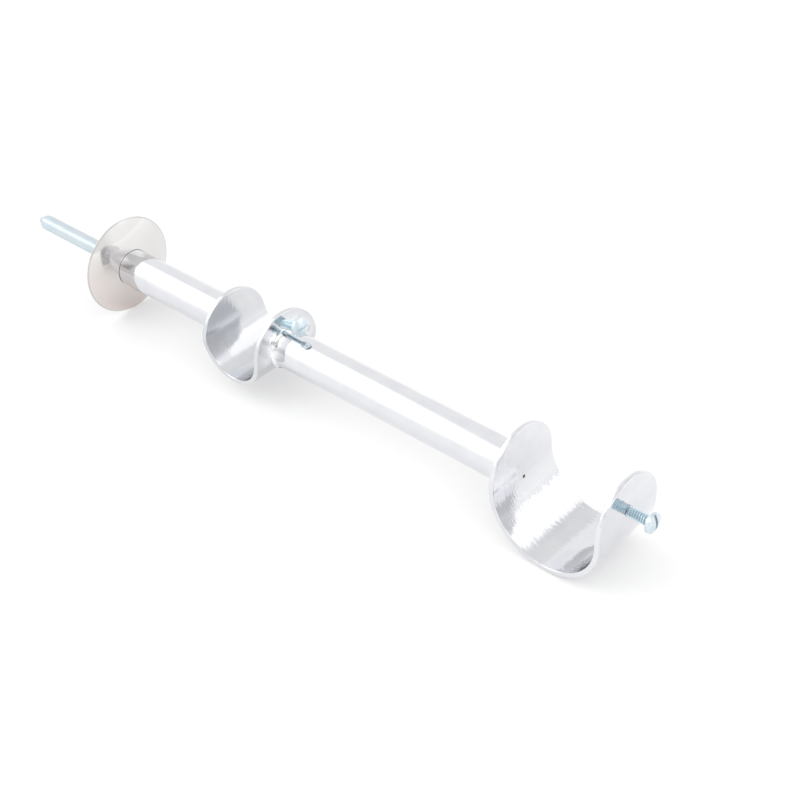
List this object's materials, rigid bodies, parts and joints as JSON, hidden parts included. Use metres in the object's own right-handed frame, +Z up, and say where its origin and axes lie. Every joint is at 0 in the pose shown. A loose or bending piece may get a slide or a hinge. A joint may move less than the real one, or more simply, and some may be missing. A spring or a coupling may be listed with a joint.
{
  "type": "curtain pole bracket",
  "caption": "Curtain pole bracket: wall stud, round rose and straight tubular arms with open U-shaped strap cups, each with a clamp screw, for a thin rear and a thick front pole.",
  "frame": {"origin": "centre of the arm's end face, in the plane of the wall", "axes": "+X out of the wall along the arms, +Z up with the cups open upwards, +Y along the poles"},
  "size_m": [0.2472, 0.032, 0.0327],
  "materials": {
    "bright_chrome": "polished",
    "rose_nickel": "polished",
    "zinc": "bright zinc, clear passivated"
  },
  "bodies": {
    "bracket": {"wall_stud": "zinc", "arm_insert": "zinc", "rear_arm": "bright_chrome", "rear_cup": "bright_chrome", "front_arm": "bright_chrome", "front_cup": "bright_chrome"},
    "rose": {"wall_rose": "rose_nickel"},
    "rear_screw": {"rear_clamp_screw": "zinc"},
    "front_screw": {"front_clamp_screw": "zinc"}
  },
  "joints": [
    {"name": "rose_slide", "type": "slide", "parent": "bracket", "child": "rose", "axis": [1, 0, 0], "range_m": [0, 0.045]},
    {"name": "rear_screw_drive", "type": "slide", "parent": "bracket", "child": "rear_screw", "axis": [0.9703, 0, 0.2419], "range_m": [-0.0045, 0.0009]},
    {"name": "front_screw_drive", "type": "slide", "parent": "bracket", "child": "front_screw", "axis": [1, 0, 0], "range_m": [-0.0063, 0.0009]}
  ]
}
